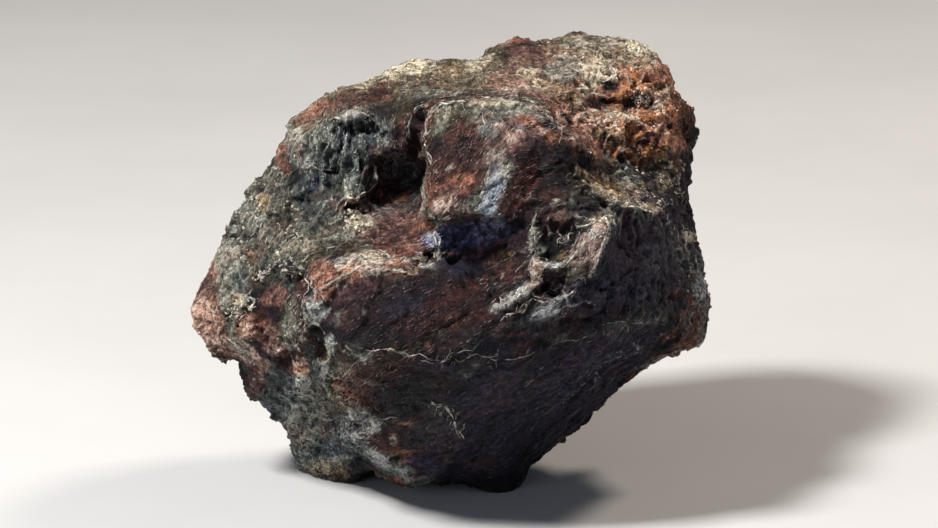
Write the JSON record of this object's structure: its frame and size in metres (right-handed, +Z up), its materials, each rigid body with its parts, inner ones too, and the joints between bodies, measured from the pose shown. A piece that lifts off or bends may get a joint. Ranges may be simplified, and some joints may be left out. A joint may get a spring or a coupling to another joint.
{
  "type": "martian meteorite",
  "caption": "Fist-sized broken meteorite: a rust-brown basalt lump with a raised slab, a deep cave beside it, crusted ledges and bowls, and a small flat facet to stand on.",
  "frame": {"origin": "middle of the bounding box's underside, on the plane that the stone rests on", "axes": "+X to the right of the stone's showing side, which faces -Y; +Z up; the broken facet that it rests on faces -Z"},
  "size_m": [0.0782, 0.0696, 0.0636],
  "materials": {
    "basalt": "rough, dull; near-black basalt rusted to red-brown, with pale cream and grey-green crust on its ridges"
  },
  "bodies": {
    "root": {"meteorite": "basalt"}
  },
  "joints": []
}
